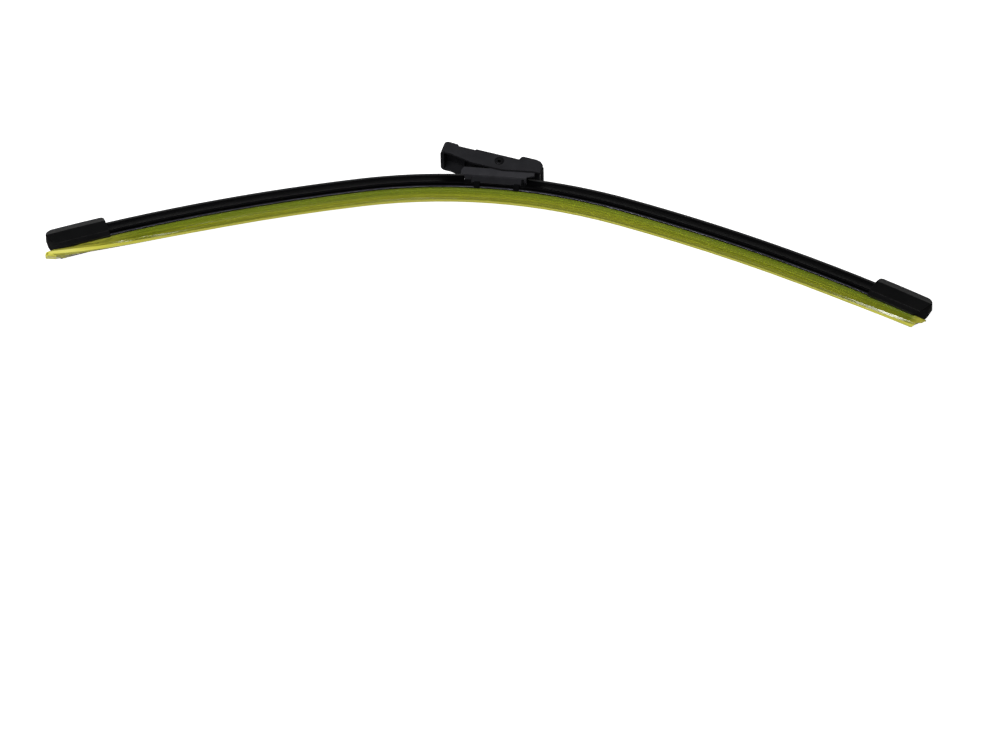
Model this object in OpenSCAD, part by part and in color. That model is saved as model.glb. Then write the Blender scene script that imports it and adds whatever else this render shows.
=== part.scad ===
// Flat wiper blade, lying on its side: a spoiler in two halves and a rubber strip on two sprung
// rails, a bracket that carries the arm adapter on a hollow rivet, and a clip-on edge sheath.
// X runs along the blade, +Y points from the wiping edge to the arm, Z runs across it,
// and the rivet's centre is the origin.

/* [Blade] */
// Length along the bow from the blade's middle to the left end
left_arm = 300; // [240:0.5:360]
// Length along the bow from the blade's middle to the right end
right_arm = 308.5; // [240:0.5:360]
// Radius of the tighter middle stretch, at the rivet's height
bow_r = 371; // [300:1:600]
// Radius of the flatter stretches towards the ends
arm_r = 1226; // [800:1:2500]
// Half the length of the tighter stretch
bow_half = 90; // [70:1:140]
// How far the rivet stands to the right of the blade's middle
pin_shift = 3; // [0:0.5:6]
// Play between pieces that are clipped or slid together
play = 0.15; // [0.1:0.05:0.25]

/* [Spoiler] */
// Distance from the rivet's axis down to the spoiler's ridge
ridge_drop = 4.2; // [3.6:0.1:5]
// Height of the spoiler
spoiler_h = 12.4; // [10:0.1:14]
// Width across the spoiler's lips
spoiler_w = 10.8; // [9.6:0.1:11.6]
// Thickness of each lip
lip_t = 1.2; // [0.8:0.1:1.6]
// Thickness of the ridge
ridge_t = 1.8; // [1.2:0.1:2.2]
// Height of the bead along the ridge
bead_h = 1.6; // [0.8:0.1:2]
// Thickness right under the bead
ridge_neck_t = 1.2; // [0.8:0.1:1.6]
// How far the ridge leans to the back
ridge_lean = 1; // [0:0.1:1.5]
// Radius of the hollow faces
hollow_r = 16; // [14:0.5:30]
// Left edge of the opening between the halves, from the rivet
gap_left = 22.6; // [21:0.1:23.5]
// Right edge of the opening between the halves, from the rivet
gap_right = 19.6; // [18.5:0.1:23]

/* [Rails] */
// Width of each spring rail
rail_w = 4.2; // [3:0.1:4.4]
// Thickness of each spring rail
rail_t = 0.9; // [0.7:0.1:1.1]
// Distance from the spoiler's underside to the rails
rail_drop = 1.9; // [1.5:0.1:2.4]

/* [Rubber] */
// Width of the web between the rails
web_w = 1.6; // [1.2:0.1:2]
// Width of the upper flange
upper_w = 6.8; // [5:0.1:8]
// Width of the lower flange
lower_w = 5.8; // [4.6:0.1:6.2]
// Thickness of the lower flange
lower_t = 0.8; // [0.6:0.1:1]
// Width of the tee that the spoiler slides over
tee_w = 4.6; // [3.6:0.1:5]
// Thickness of the tee's head
tee_t = 1.2; // [0.8:0.1:1.5]
// Height of the tee's stem inside the spoiler
stem_h = 1; // [0.8:0.1:1.3]
// Width of the tee's stem
stem_w = 2; // [1.6:0.1:2.4]
// Width of the neck that lets the lip flip
neck_w = 0.8; // [0.6:0.1:1]
// Height of the neck
neck_h = 1; // [0.8:0.1:1.2]
// Width across the shoulders of the lip
shoulder_w = 3.8; // [3:0.1:4]
// Height of the shoulders
shoulder_h = 1.1; // [0.9:0.1:1.4]
// Length of the lip below the shoulders
edge_h = 3.6; // [3:0.1:3.8]
// Thickness of the wiping edge
edge_t = 0.7; // [0.5:0.1:1]

/* [Sheath] */
// Height of the sheath
sheath_h = 7.65; // [7.5:0.05:9]
// Wall of the sheath
sheath_t = 0.85; // [0.6:0.05:1]
// Width across the sheath's closed edge
sheath_foot_w = 4.6; // [4:0.1:5.2]
// Bevel along the closed edge
foot_bevel = 1.2; // [0.6:0.1:1.4]
// Thickening of the wall inside that bevel
foot_fill = 0.2; // [0:0.05:0.3]
// Slope under the barbs that hold the sheath on the rubber
barb_slope = 0.4; // [0.2:0.1:0.6]
// Radius of the lower corner at the left end
sheath_corner_r = 5; // [2:0.5:6]
// Thickness of the bead along each rim
rim_t = 0.35; // [0.2:0.05:0.5]
// Height of the rim bead
rim_h = 0.7; // [0.4:0.1:1]
// How far the sheath runs past the left cap
sheath_left = 5; // [2:0.5:8]
// How far the sheath runs past the right cap
sheath_right = 3; // [1:0.5:6]

/* [End caps] */
// Length of each cap
cap_len = 40.5; // [30:0.5:50]
// Wall of the caps
cap_t = 1; // [0.8:0.1:1.3]
// How far the caps stand above the ridge
cap_rise = 3.6; // [2.5:0.1:4.5]
// Thickness of the closed end
cap_end_t = 7; // [5:0.1:8]
// How far the foot of the closed end stands back
cap_undercut = 6; // [1:0.1:6.2]
// Height of that slanting foot
cap_undercut_h = 9.5; // [7:0.5:12]
// Step in the sides at the level of the spoiler's lips
cap_ledge = 0.4; // [0.2:0.05:0.5]
// Thickness of the hooks under the rails
hook_t = 0.9; // [0.6:0.1:1.1]
// How far the hooks reach in under the rails
hook_reach = 0.75; // [0.5:0.05:0.9]
// Radius of the step at the inner end
cap_step_r = 2.6; // [1:0.1:3.2]
// Radius of the upper corner at the outer end
cap_nose_r = 7; // [3:0.1:9]
// Radius of the outer end, seen from the arm
cap_plan_r = 5; // [2:0.1:5.4]
// Width along the top of each cap
cap_top_w = 2.4; // [1.6:0.1:3]
// Width of the caps at the foot of their top bevels
cap_brow_w = 9.2; // [8:0.1:9.6]
// Height of the top bevels
cap_brow_h = 5.9; // [4:0.1:6.4]

/* [Rivet] */
// Diameter of the rivet's shank
pin_d = 3.8; // [3:0.1:4.2]
// Diameter of the hole through the rivet
pin_hole_d = 2.2; // [1.6:0.1:2.6]
// Diameter of the rivet's heads
head_d = 4.8; // [4.4:0.1:5.4]
// Thickness of the heads
head_t = 0.7; // [0.5:0.1:0.9]
// Gap between the shank and its holes
pin_play = 0.05; // [0.03:0.01:0.08]

/* [Bracket] */
// Width across the bracket's walls
bracket_w = 14.8; // [14.2:0.1:15]
// Sheet thickness of the bracket
bracket_t = 1.2; // [1:0.1:1.4]
// Length of the bracket left of the rivet
bracket_left = 24.2; // [23.8:0.1:26]
// Length of the bracket right of the rivet
bracket_right = 23.7; // [20.5:0.1:24.5]
// Distance from the rivet's axis down to the top of the walls
wall_drop = 5.1; // [4.6:0.1:5.6]
// Height of the walls
wall_h = 5.9; // [5:0.1:6.5]
// Radius of the ears round the rivet
ear_r = 3.1; // [2.9:0.05:3.2]
// How far the web stops short of the spoiler's halves
web_clear = 0.8; // [0.4:0.1:1.2]
// Bevel of the walls' left upper corner
wall_bevel = 1.4; // [0.6:0.1:2.4]
// Length of the tongue behind the web
tongue_l = 5; // [3:0.1:6]
// Height left under the tongue
tongue_low = 2.4; // [1.6:0.1:3]
// Rise of the tongue's lower edge
tongue_rise = 1.1; // [0.4:0.1:1.4]

/* [Saddle] */
// Half the length of the saddle
saddle_half = 17; // [14:0.1:18.5]
// Width of the saddle
saddle_w = 11.2; // [11:0.1:11.6]
// Height of the saddle's shoulders below the bracket
saddle_h = 5; // [4.4:0.1:5.2]
// Distance of the claws from the saddle's ends
claw_inset = 1.5; // [1:0.1:3]
// Length of each claw
claw_len = 4; // [3:0.1:7]
// Thickness of the claws
claw_t = 0.6; // [0.5:0.1:1]
// Thickness of the claws' hooks under the rails
claw_hook_t = 0.5; // [0.4:0.1:0.8]
// Distance of the studs from the rivet
stud_x = 11.5; // [9:0.1:13]
// Diameter of the studs
stud_d = 3.6; // [3:0.1:4.2]
// Spread of the studs' heads
stud_spread = 1.6; // [1:0.1:2]
// Height of the studs' heads
stud_head_h = 0.9; // [0.6:0.1:1.2]
// Width of the saddle's foot
saddle_foot_w = 9.2; // [8.6:0.1:9.8]

/* [Adapter] */
// Tilt of the adapter against the blade
seat_tilt = 11.5; // [9:0.1:12]
// Width of the adapter
adapter_w = 19.5; // [19:0.1:22]
// Wall of the adapter
adapter_t = 1.6; // [1.3:0.1:1.8]
// Thickness of the adapter's roof
roof_t = 1.4; // [1:0.1:1.45]
// Height of the arm seat above the rivet's axis
seat_h = 4.9; // [4.8:0.1:5.6]
// Length from the rivet's axis to the nose
nose_x = 39.4; // [36:0.1:44]
// Length from the rivet's axis to the back
back_x = 29; // [28.5:0.1:34]
// Depth of the cheeks below the rivet's axis
cheek_h = 6.3; // [5.6:0.1:6.8]
// Depth of the nose below the rivet's axis
nose_h = 3.3; // [2.6:0.1:4]
// Radius of the bosses inside the cheeks, round the rivet
boss_r = 3.6; // [3:0.1:4]
// Diameter of the recess round the rivet's head
recess_d = 6.4; // [6:0.1:7.2]
// Thickness of the nose's front wall
nose_wall_t = 2.4; // [2:0.1:3]
// Radius of the nose's upright corners
nose_r = 3.2; // [2:0.1:5]
// Radius of the back's upright corners
back_r = 2; // [1:0.1:2.4]
// Bevel of the nose's upper edge
nose_bevel = 0.8; // [0.4:0.1:1.2]
// Rise of the nose's brow above the arm seat
brow_h = 0.8; // [0.4:0.1:1.2]
// Distance from the nose to the brow's highest line
brow_peak = 3.6; // [2:0.1:5]
// Distance from the rivet's axis to the inner end of the brow
brow_x = 29.8; // [28.8:0.1:31]
// Depth of the dip between the brow and the arm seat
dip_h = 0.8; // [0.4:0.1:1.1]
// Length of the slope at either end of the dip
dip_slope = 0.8; // [0.4:0.1:1.2]
// Distance from the rivet's axis to the left end of the arm seat
seat_x = 17; // [15:0.1:19]
// Slope of the step up to the horns beside the thumb pad
horn_slope = 0.8; // [0.4:0.1:1.2]
// Radius of the horns at the back
horn_r = 6; // [4:0.1:7]
// Depth of the cheeks at the back
tail_h = 1.9; // [1.4:0.1:2.6]
// Length of that shallow stretch
tail_l = 5.2; // [4:0.1:7]
// Distance from the rivet's axis to the right end of the deepest stretch
belly_right = 3.7; // [2:0.1:5]
// Distance from the rivet's axis to its left end
belly_left = 17.5; // [14:0.1:20]
// Distance from the rivet's axis to where the nose's lower edge starts
chin_x = 32.5; // [30:0.1:35]
// Thickness of the ribs under the roof
rib_t = 1.4; // [1:0.1:1.8]
// Level of the ribs' lower edges above the rivet's axis
rib_low = 0.5; // [0.2:0.1:1]
// Distances of the two ribs from the rivet's axis
ribs = [11.2, 24]; // [9:0.1:26]
// Thickness of the stop that rests on the bracket
stop_t = 1.6; // [1.2:0.1:2]
// Gap between the stop and the bracket's walls
stop_gap = 0.1; // [0.05:0.05:0.3]
// Thickness of the bar across the back
back_bar_t = 1.2; // [0.8:0.1:1.4]
// Height of the bar across the back
back_bar_h = 2.8; // [2:0.1:3]
// Level of that bar above the rivet's axis
back_bar_y = 1.4; // [1:0.1:2]

/* [Latch] */
// Play round the latch
latch_play = 0.35; // [0.3:0.05:0.5]
// Thickness of the latch plate
latch_t = 1.8; // [1.4:0.1:2]
// Diameter of the latch's pivots
trunnion_d = 2; // [1.6:0.1:2.2]
// Height of the horns beside the thumb pad, above the arm seat
pad_h = 3; // [2:0.1:3.2]
// How far the thumb pad stands below the horns
pad_drop = 0.4; // [0.2:0.1:0.8]
// Wall of the thumb pad
pad_t = 2; // [1.4:0.1:2.2]
// Distance from the latch's pivot to the thumb pad
pad_x = 3.4; // [3:0.1:4.4]
// Gap between the latch's tip and the back
latch_gap = 2.4; // [2.2:0.1:3]
// Distance from the rivet's axis to the latch's pivots, along the arm seat
latch_x = 12.4; // [12:0.1:13]
// Level of the latch's pivots above the rivet's axis
latch_y = 3.4; // [3.2:0.1:3.6]
// How far the pivots reach into the cheeks
trunnion_in = 0.9; // [0.6:0.1:1.2]

/* [Hidden] */
$fn = 72;
// How far a cut stands past the faces it must clear
past = 1;
// How far a round stands out, so that it cuts the faces it meets instead of only touching them
graze = 0.05;
// Sides of a full circle in the long sweeps and in the spoiler's hollow faces
sweep_fn = 240;
spoiler_grey = [0.13, 0.13, 0.14];
steel_grey = [0.55, 0.56, 0.58];

// Levels, measured from the rivet's axis towards the arm
ridge_y = -ridge_drop;
bead_low = ridge_y - bead_h;
lip_y = ridge_y - spoiler_h;
rail_top = lip_y - rail_drop;
rail_low = rail_top - rail_t;
flange_low = rail_low - play - lower_t;
neck_low = flange_low - neck_h;
shoulder_low = neck_low - shoulder_h;
edge_y = shoulder_low - edge_h;
rim_y = rail_low - play;
sheath_low = rim_y - sheath_h;
tee_low = lip_y + stem_h;
tee_top = tee_low + tee_t;
cap_top = ridge_y + cap_rise;
hook_low = rim_y - hook_t;
claw_low = rim_y - claw_hook_t;
slot_top = tee_top + tee_t / 2;
cap_low = hook_low;
web_y = -wall_drop - wall_h;
rail_in = web_w / 2 + play;
rail_out = rail_in + rail_w;
pad_y = seat_h + pad_h;
stop_right = latch_x - latch_t / 2 - latch_play;
stop_y = stop_gap + (stop_right * sin(seat_tilt) - wall_drop) / cos(seat_tilt);

// Ends along the bow, measured from the rivet
left_end = -left_arm - pin_shift;
right_end = right_arm - pin_shift;
left_pocket = left_end + cap_end_t + play;
right_pocket = right_end - cap_end_t - play;

// Half widths
hook_in = rail_out - hook_reach;
rim_half = hook_in - play - rim_t;
claw_w = 2 * (rail_out + play + claw_t);
cap_w = 2 * (max(spoiler_w / 2, rail_out) + play + cap_t);
cheek_in = adapter_w / 2 - adapter_t;
boss_z = bracket_w / 2 + play;
trunnion_reach = cheek_in + trunnion_in;
bracket_web_left = gap_left - web_clear;
bracket_web_right = gap_right - web_clear;

// The bow: a tight middle arc and two flatter ones, measured at the rivet's height
bend = bow_half / bow_r * 180 / PI;
function heading(s) = abs(s) < bow_half ? s / bow_r * 180 / PI
    : sign(s) * (bend + (abs(s) - bow_half) / arm_r * 180 / PI);
arm_centre = [-(arm_r - bow_r) * sin(bend), -bow_r - (arm_r - bow_r) * cos(bend)];
function bow_point(s) = abs(s) < bow_half
    ? [bow_r * sin(heading(s)), bow_r * (cos(heading(s)) - 1)]
    : [sign(s) * (arm_centre[0] + arm_r * sin(abs(heading(s)))),
        arm_centre[1] + arm_r * cos(heading(s))];

// Puts something at a place on the bow, with X along the blade there
module at_bow(s) {
    translate([bow_point(s)[0], bow_point(s)[1], 0])
        rotate([0, 0, -heading(s)])
            children();
}

// One arc from the plane X = 0 towards +X, bent down to a radius, for a profile of level and height
module right_arc(r, len) {
    mirror([1, 0, 0])
        left_arc(r, len)
            children();
}

module left_arc(r, len) {
    translate([0, -r, 0])
        rotate([0, 0, 90])
            rotate_extrude(angle = len / r * 180 / PI, $fn = sweep_fn)
                translate([r, 0])
                    children();
}

// A sweep right of the blade's middle; the two arcs of a long one meet in a plane of their own
module right_side(s0, s1) {
    if (s0 >= bow_half || s1 <= bow_half)
        at_bow(s0)
            right_arc(s0 >= bow_half ? arm_r : bow_r, s1 - s0)
                children();
    else
        at_bow(bow_half) {
            right_arc(arm_r, s1 - bow_half)
                children();
            left_arc(bow_r, bow_half - s0)
                children();
        }
}

// The stretch from the blade's middle to the right, cut off square at the middle
module from_middle(s1) {
    intersection() {
        right_side(-1, s1)
            children();
        translate([0, -s1, -s1])
            cube(2 * s1);
    }
}

// Sweeps a profile along the bow between two places, measured from the rivet
module along(x0, x1) {
    s0 = x0 + pin_shift;
    s1 = x1 + pin_shift;
    translate([-pin_shift, 0, 0]) {
        if (s0 >= 0 || max(-s0, s1) <= bow_half)
            right_side(s0, s1)
                children();
        else if (s1 <= 0)
            mirror([1, 0, 0])
                right_side(-s1, -s0)
                    children();
        else {
            from_middle(s1)
                children();
            mirror([1, 0, 0])
                from_middle(-s0)
                    children();
        }
    }
}

// Closes a half outline with its mirror image
function both_sides(half) = concat(half, [for (i = [len(half) - 1:-1:0]) [half[i][0], -half[i][1]]]);

// A band of a profile between two levels, centred across the blade
module band(y0, y1, w) {
    translate([y0, -w / 2])
        square([y1 - y0, w]);
}

// The slot in a base that slides over the rubber's tee
module tee_slot() {
    band(lip_y - past, tee_low + play, stem_w + 2 * play);
    band(tee_low - play, tee_top + play, tee_w + 2 * play);
}

// One hollow face of the spoiler is cut by a round on this side
module hollow(side) {
    lip = [lip_y + lip_t, side * spoiler_w / 2];
    top = [bead_low, side * ridge_neck_t / 2 - ridge_lean];
    chord = top - lip;
    mid = (top + lip) / 2;
    rise = sqrt(pow(hollow_r, 2) - pow(norm(chord) / 2, 2));
    normal = side * [-chord[1], chord[0]] / norm(chord);
    translate(mid + normal * rise)
        circle(hollow_r, $fn = sweep_fn);
}

module spoiler_profile() {
    difference() {
        polygon([
            [lip_y, -spoiler_w / 2], [lip_y + lip_t, -spoiler_w / 2],
            [bead_low, -ridge_neck_t / 2 - ridge_lean], [bead_low, -ridge_t / 2 - ridge_lean],
            [ridge_y, -ridge_t / 2 - ridge_lean], [ridge_y, ridge_t / 2 - ridge_lean],
            [bead_low, ridge_t / 2 - ridge_lean], [bead_low, ridge_neck_t / 2 - ridge_lean],
            [lip_y + lip_t, spoiler_w / 2], [lip_y, spoiler_w / 2]
        ]);
        hollow(1);
        hollow(-1);
        tee_slot();
    }
}

module spoiler_left() {
    color(spoiler_grey)
        along(left_pocket, -gap_left)
            spoiler_profile();
}

module spoiler_right() {
    color(spoiler_grey)
        along(gap_right, right_pocket)
            spoiler_profile();
}

module rail(side) {
    along(left_pocket, right_pocket)
        translate([rail_low, side > 0 ? rail_in : -rail_out])
            square([rail_t, rail_w]);
}

module rail_near() {
    color(steel_grey)
        rail(1);
}

module rail_far() {
    color(steel_grey)
        rail(-1);
}

module rubber_profile() {
    polygon(both_sides([
        [tee_top, tee_w / 2], [tee_low, tee_w / 2], [tee_low, stem_w / 2],
        [lip_y - play, stem_w / 2], [lip_y - play, upper_w / 2], [rail_top + play, upper_w / 2],
        [rail_top + play, web_w / 2], [rim_y, web_w / 2], [rim_y, lower_w / 2],
        [flange_low, lower_w / 2], [flange_low, neck_w / 2], [neck_low, neck_w / 2],
        [neck_low, shoulder_w / 2], [shoulder_low, shoulder_w / 2], [edge_y, edge_t / 2]
    ]));
}

module wiping_rubber() {
    color([0.06, 0.06, 0.06])
        along(left_pocket, right_pocket)
            rubber_profile();
}

// Half of the cap's section, from the top down
cap_half = [
    [cap_top, cap_top_w / 2], [cap_top - cap_brow_h, cap_brow_w / 2], [lip_y, cap_w / 2],
    [lip_y, cap_w / 2 - cap_ledge], [cap_low, cap_w / 2 - cap_ledge],
    [cap_low, hook_in], [rail_low, hook_in]
];

module cap_outer() {
    polygon(both_sides(cap_half));
}

// What the cap is hollowed by: the spoiler's outline, the rails and the open underside
module cap_inner() {
    crest = ridge_t / 2 + ridge_lean + play;
    polygon(both_sides([
        [ridge_y + play, crest], [bead_low - play, crest],
        [lip_y + lip_t + play, spoiler_w / 2 + play], [lip_y - play, spoiler_w / 2 + play],
        [lip_y - play, rail_out + play], [rim_y, rail_out + play],
        [rim_y, hook_in - play], [cap_low - past, hook_in - play]
    ]));
}

// A cap in place, with its closed end at s_end and side pointing outwards
module cap(s_end, side) {
    s_in = s_end - side * cap_len;
    s_pocket = s_end - side * cap_end_t;
    difference() {
        along(min(s_end, s_in), max(s_end, s_in))
            cap_outer();
        along(min(s_pocket, s_in - side * past), max(s_pocket, s_in - side * past))
            cap_inner();
        translate([-pin_shift, 0, 0]) {
            at_bow(s_in + pin_shift)
                top_round(-side, cap_step_r);
            at_bow(s_end + pin_shift) {
                top_round(side, cap_nose_r);
                plan_round(side, cap_w, cap_plan_r);
                undercut(side);
            }
        }
    }
}

// What lies outside a round of this radius, in the quarter where X and Y are positive
module outside_round(r) {
    difference() {
        square(2 * r);
        circle(r);
    }
}

// Cuts a cap's upper corner round, at an end that faces side
module top_round(side, r) {
    mirror([side > 0 ? 0 : 1, 0, 0])
        translate([-r + graze, cap_top - r + graze, -cap_w])
            linear_extrude(height = 2 * cap_w)
                outside_round(r);
}

// Slants the foot of a cap's closed end that faces side
module undercut(side) {
    slope = cap_undercut / cap_undercut_h;
    mirror([side > 0 ? 0 : 1, 0, 0])
        translate([0, cap_low, -cap_w])
            linear_extrude(height = 2 * cap_w)
                polygon([
                    [-cap_undercut - past * slope, -past], [past, -past],
                    [past, cap_undercut_h + past / slope], [-cap_undercut, 0]
                ]);
}

// Cuts the two upright corners of a body this wide round, at an end that faces side
module plan_round(side, w, r) {
    reach = 2 * w;
    mirror([side > 0 ? 0 : 1, 0, 0])
        for (z = [0, 1])
            mirror([0, 0, z])
                translate([-r + graze, reach, w / 2 - r + graze])
                    rotate([90, 0, 0])
                        linear_extrude(height = 2 * reach)
                            outside_round(r);
}

module end_cap_left() {
    color(spoiler_grey)
        cap(left_end, -1);
}

module end_cap_right() {
    color(spoiler_grey)
        cap(right_end, 1);
}

// Half of the sheath's outline, from the rim down to its closed edge
module sheath_outer() {
    foot = sheath_foot_w / 2;
    polygon(both_sides([
        [rim_y, rim_half + rim_t], [rim_y - rim_h, rim_half + rim_t], [rim_y - rim_h, rim_half],
        [sheath_low + foot_bevel, foot], [sheath_low, foot - foot_bevel]
    ]));
}

module sheath_profile() {
    foot = sheath_foot_w / 2;
    barb = neck_w / 2 + 3 * play;
    difference() {
        sheath_outer();
        polygon(both_sides([
            [rim_y + past, rim_half - sheath_t], [flange_low - play, rim_half - sheath_t],
            [flange_low - play, barb], [neck_low + play, barb],
            [neck_low + play, shoulder_w / 2 + play], [neck_low - barb_slope, rim_half - sheath_t],
            [sheath_low + sheath_t + foot_bevel, foot - sheath_t],
            [sheath_low + sheath_t, foot - foot_bevel - foot_fill]
        ]));
    }
}

// Cuts the lower corner round, at a left end
module lower_corner_round(r) {
    translate([r - graze, sheath_low + r - graze, -sheath_foot_w])
        rotate([0, 0, 180])
            linear_extrude(height = 2 * sheath_foot_w)
                outside_round(r);
}

module edge_sheath() {
    s_left = left_end - sheath_left;
    color([0.85, 0.85, 0.25, 0.8])
        difference() {
            along(s_left, right_end + sheath_right)
                sheath_profile();
            translate([-pin_shift, 0, 0])
                at_bow(s_left + pin_shift)
                    lower_corner_round(sheath_corner_r);
        }
}

// The foot of the saddle, slid over the rubber's tee as the spoiler is
module foot_profile() {
    difference() {
        band(lip_y, slot_top + past, saddle_foot_w);
        tee_slot();
    }
}

// One side's claw, which reaches round its rail from the saddle's shoulder
module claw_profile() {
    inner = saddle_foot_w / 2 - past;
    polygon([
        [web_y - saddle_h + past, inner], [web_y - saddle_h + past, claw_w / 2],
        [claw_low, claw_w / 2], [claw_low, hook_in], [rim_y, hook_in], [rim_y, rail_out + play],
        [lip_y + play, rail_out + play], [lip_y + play, inner]
    ]);
}

// The base that sits on the rails between the two halves of the spoiler
module saddle() {
    color([0.2, 0.2, 0.22]) {
        difference() {
            translate([-saddle_half, web_y - saddle_h, -saddle_w / 2])
                cube([2 * saddle_half, saddle_h, saddle_w]);
            translate([-saddle_half - past, slot_top - saddle_h, -tee_w / 2 - 2 * play])
                cube([2 * (saddle_half + past), saddle_h, tee_w + 4 * play]);
        }
        along(-gap_left + play, gap_right - play)
            foot_profile();
        for (x0 = [-saddle_half + claw_inset, saddle_half - claw_inset - claw_len])
            for (z = [0, 1])
                mirror([0, 0, z])
                    along(x0, x0 + claw_len)
                        claw_profile();
        for (x = [-stud_x, stud_x])
            translate([x, web_y - past, 0])
                rotate([-90, 0, 0])
                    stud();
    }
}

// A stud with its spread head, standing on the saddle
module stud() {
    neck = past + bracket_t + play;
    cylinder(d = stud_d, h = neck);
    translate([0, 0, neck])
        cylinder(d1 = stud_d + stud_spread, d2 = stud_d, h = stud_head_h);
}

// The sheet channel that carries the rivet
module bracket() {
    color([0.48, 0.5, 0.53])
        difference() {
            union() {
                translate([-bracket_web_left, web_y, -bracket_w / 2])
                    cube([bracket_web_left + bracket_web_right, bracket_t, bracket_w]);
                for (z = [-bracket_w / 2, bracket_w / 2 - bracket_t])
                    translate([0, 0, z])
                        linear_extrude(height = bracket_t)
                            bracket_wall();
            }
            for (side = [-1, 1])
                translate([side * stud_x, web_y - past, 0])
                    rotate([-90, 0, 0])
                        cylinder(d = stud_d + 2 * play, h = bracket_t + 2 * past);
            translate([0, 0, -bracket_w])
                cylinder(d = pin_d + 2 * pin_play, h = 2 * bracket_w);
        }
}

// Outline of a bracket wall, with its ear and the thin tongue at the back
module bracket_wall() {
    top = -wall_drop;
    tongue = bracket_right - tongue_l;
    polygon([
        [-bracket_left, web_y], [-bracket_left, top - wall_h / 2], [-bracket_left + wall_bevel, top],
        [-2 * ear_r, top], [-ear_r, 0], [ear_r, 0], [2 * ear_r, top], [bracket_right, top],
        [bracket_right, web_y + tongue_low], [tongue, web_y + tongue_low - tongue_rise],
        [tongue - play, web_y]
    ]);
    circle(ear_r);
}

module pivot_rivet() {
    half = adapter_w / 2;
    color([0.4, 0.41, 0.43])
        rotate_extrude()
            polygon([
                [pin_hole_d / 2, -half], [head_d / 2, -half], [head_d / 2, -half + head_t],
                [pin_d / 2, -half + head_t], [pin_d / 2, half - head_t], [head_d / 2, half - head_t],
                [head_d / 2, half], [pin_hole_d / 2, half]
            ]);
}

// Turns from the adapter's own frame, where its seat is level, to the blade's
module tilted() {
    rotate([0, 0, -seat_tilt])
        children();
}

// A round corner to the upper right of an outline, as a few points
function corner(x, y, r) = [for (a = [90:-30:0]) [x - r + r * cos(a), y - r + r * sin(a)]];

// The line along the top of the nose and the arm seat, which cheeks and roof share
top_line = [
    [-nose_x, -nose_h], [-nose_x, seat_h - nose_bevel], [-nose_x + nose_bevel, seat_h + brow_h / 2],
    [-nose_x + brow_peak, seat_h + brow_h], [-brow_x, seat_h + brow_h / 2],
    [-brow_x + dip_slope, seat_h - dip_h], [-seat_x - dip_slope, seat_h - dip_h], [-seat_x, seat_h]
];

// Outline of a cheek, with the seat level
module cheek_outline() {
    polygon(concat(
        top_line,
        [
            [latch_x - horn_slope / 2, seat_h], [latch_x + horn_slope / 2, pad_y - horn_slope],
            [latch_x + 2 * horn_slope, pad_y]
        ],
        corner(back_x, pad_y, horn_r),
        [
            [back_x, -tail_h], [back_x - tail_l, -tail_h], [belly_right, -cheek_h],
            [-belly_left, -cheek_h], [-chin_x, -nose_h]
        ]
    ));
}

module adapter_body() {
    color([0.22, 0.22, 0.24])
        tilted()
            difference() {
                union() {
                    for (z = [-adapter_w / 2, adapter_w / 2 - adapter_t])
                        translate([0, 0, z])
                            linear_extrude(height = adapter_t)
                                cheek_outline();
                    between(cheek_in)
                        roof_outline();
                    for (side = [-1, 1])
                        mirror([0, 0, side > 0 ? 0 : 1])
                            translate([0, 0, boss_z])
                                cylinder(r = boss_r, h = cheek_in - boss_z + graze);
                }
                translate([0, 0, -adapter_w])
                    cylinder(d = pin_d + 2 * pin_play, h = 2 * adapter_w);
                for (side = [-1, 1])
                    mirror([0, 0, side > 0 ? 0 : 1])
                        translate([0, 0, adapter_w / 2 - head_t - play])
                            cylinder(d = recess_d, h = head_t + past);
                translate([latch_x, latch_y, -trunnion_reach - play])
                    cylinder(d = trunnion_d + 2 * pin_play, h = 2 * (trunnion_reach + play));
                translate([-nose_x, 0, 0])
                    plan_round(-1, adapter_w, nose_r);
                translate([back_x, 0, 0])
                    plan_round(1, adapter_w, back_r);
            }
}

// Extrudes an outline across the blade, as far as this on either side
module between(half) {
    translate([0, 0, -half])
        linear_extrude(height = 2 * half)
            children();
}

// A rib under the roof, hanging from a level
function rib(x, under) = [[-x, under], [-x, rib_low], [-x - rib_t, rib_low], [-x - rib_t, under]];

// Section of what joins the cheeks: nose, roof, two ribs, the stop and the bar across the back
module roof_outline() {
    under = seat_h - roof_t;
    polygon(concat(
        top_line,
        [
            [stop_right, seat_h], [stop_right, stop_y],
            [stop_right - stop_t, stop_y], [stop_right - stop_t, under]
        ],
        rib(ribs[0], under),
        [[-seat_x, under], [-seat_x - dip_slope, under - dip_h]],
        rib(ribs[1], under - dip_h),
        [
            [-brow_x + dip_slope, under - dip_h], [-brow_x, under], [-nose_x + nose_wall_t, under],
            [-nose_x + nose_wall_t, -nose_h]
        ]
    ));
    translate([back_x - back_bar_t - graze, back_bar_y])
        square([back_bar_t, back_bar_h]);
}

// Section of the latch: a plate from the pivot to the back, with a thumb pad
module latch_outline() {
    tip = back_x - latch_gap;
    low = latch_y - latch_t / 2;
    pad_top = pad_y - pad_drop;
    difference() {
        union() {
            polygon([
                [latch_x, low], [tip, low], [tip, pad_top - pad_t], [tip - pad_t, pad_top],
                [latch_x + pad_x, pad_top], [latch_x + pad_x - latch_t / 2, low + latch_t],
                [latch_x, low + latch_t]
            ]);
            translate([latch_x, latch_y])
                circle(latch_t / 2);
        }
        translate([latch_x + pad_x + latch_t / 2, low - past])
            square([tip - latch_x - pad_x - latch_t / 2 - pad_t, pad_top - pad_t + past - low]);
    }
}

module release_latch() {
    color([0.18, 0.18, 0.2])
        tilted() {
            between(cheek_in - latch_play)
                latch_outline();
            translate([latch_x, latch_y, -trunnion_reach])
                cylinder(d = trunnion_d, h = 2 * trunnion_reach);
        }
}

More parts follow.
